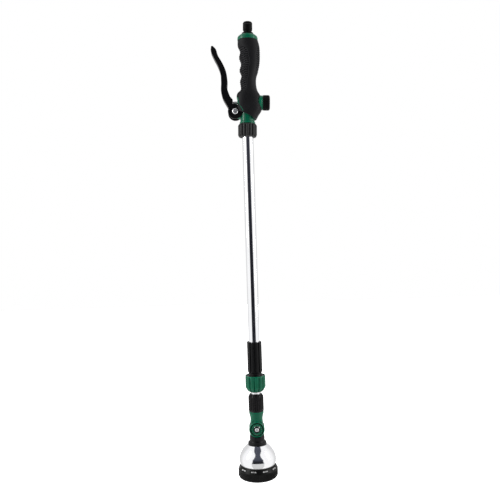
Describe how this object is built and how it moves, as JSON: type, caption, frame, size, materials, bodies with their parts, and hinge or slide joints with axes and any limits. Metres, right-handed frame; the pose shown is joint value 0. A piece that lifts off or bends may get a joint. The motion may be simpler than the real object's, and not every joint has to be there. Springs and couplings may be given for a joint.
{
  "type": "telescopic watering wand",
  "caption": "Telescopic hose watering wand: trigger grip with flow knob, twist-lock tube, pivoting spray head with a pattern dial.",
  "frame": {"origin": "middle of the spray face, on the centre cap", "axes": "+Z runs along the tubes to the hose end, the lever is on -X and the flow knob on +X"},
  "size_m": [0.0976, 0.0668, 0.7716],
  "materials": {
    "green_plastic": "deep emerald green moulded plastic, satin gloss",
    "black_plastic": "near-black moulded plastic with a fine grain",
    "soft_grip": "soft near-black thermoplastic rubber, matt",
    "grey_plastic": "grey acetal of the inner water parts",
    "rubber": "black nitrile rubber",
    "aluminium": "polished bright aluminium",
    "steel": "stainless steel"
  },
  "bodies": {
    "handle": {"outer_tube": "aluminium", "fluted_sleeve": "black_plastic", "lock_collet": "grey_plastic", "coupling_nut": "black_plastic", "tube_seal": "rubber", "handle_core": "green_plastic", "grip_sleeve": "soft_grip", "end_collar": "green_plastic", "inlet_washer": "rubber", "hose_connector": "black_plastic", "connector_oring": "rubber", "lever_screw": "steel", "lever_nut": "steel", "stem_gland": "black_plastic", "stem_oring": "rubber", "valve_seat": "grey_plastic", "valve_spring": "steel", "valve_bonnet": "green_plastic", "bonnet_oring": "rubber"},
    "trigger": {"trigger_lever": "black_plastic"},
    "stem": {"valve_stem": "steel", "poppet_seal": "rubber"},
    "flow_control": {"flow_knob": "black_plastic", "flow_spindle": "black_plastic", "spindle_oring": "rubber", "knob_screw": "steel"},
    "twist_lock": {"twist_lock_nut": "green_plastic"},
    "extension": {"inner_tube": "aluminium", "piston": "grey_plastic", "piston_oring_lower": "rubber", "piston_oring_upper": "rubber", "tube_collar": "black_plastic", "collar_seal": "rubber", "pivot_body": "green_plastic", "pivot_cap_front": "green_plastic", "pivot_cap_back": "green_plastic", "pivot_washer": "black_plastic", "pivot_screw": "steel", "pivot_nut": "steel", "pivot_seal_front": "rubber", "pivot_seal_back": "rubber"},
    "spray_head": {"head_neck": "black_plastic", "bell_cover": "aluminium", "port_plate": "grey_plastic", "port_seal": "rubber", "plate_gasket": "rubber", "dial_screw": "steel"},
    "pattern_dial": {"dial_ring": "black_plastic", "dial_core": "grey_plastic", "spray_face": "black_plastic", "centre_cap": "grey_plastic"}
  },
  "joints": [
    {"name": "trigger_squeeze", "type": "hinge", "parent": "handle", "child": "trigger", "pos_m": [-0.01969, 0, 0.61923], "axis": [0, 1, 0], "range_deg": [0, 16], "stiffness_Nm_per_rad": 2.5, "springref_deg": -11.46},
    {"name": "stem_travel", "type": "slide", "parent": "handle", "child": "stem", "axis": [0.9995, 0, -0.0314], "range_m": [0, 0.0047], "deforming": ["valve_spring"]},
    {"name": "flow_turn", "type": "hinge", "parent": "handle", "child": "flow_control", "pos_m": [0.00141, 0, 0.63498], "axis": [0.9995, 0, -0.0314], "range_deg": [0, 180]},
    {"name": "lock_turn", "type": "hinge", "parent": "handle", "child": "twist_lock", "pos_m": [0, 0, 0.157], "axis": [0, 0, 1], "range_deg": [0, 120]},
    {"name": "tube_extend", "type": "slide", "parent": "handle", "child": "extension", "axis": [0, 0, -1], "range_m": [0, 0.28]},
    {"name": "head_tilt", "type": "hinge", "parent": "extension", "child": "spray_head", "pos_m": [0, 0, 0.0823], "axis": [0, 1, 0], "range_deg": [-60, 60]},
    {"name": "pattern_turn", "type": "hinge", "parent": "spray_head", "child": "pattern_dial", "pos_m": [0, 0, 0.01], "axis": [0, 0, 1], "continuous": true}
  ],
  "couplings": [
    {"joint": "stem_travel", "follows": "trigger_squeeze", "m_per_rad": 0.0164}
  ]
}
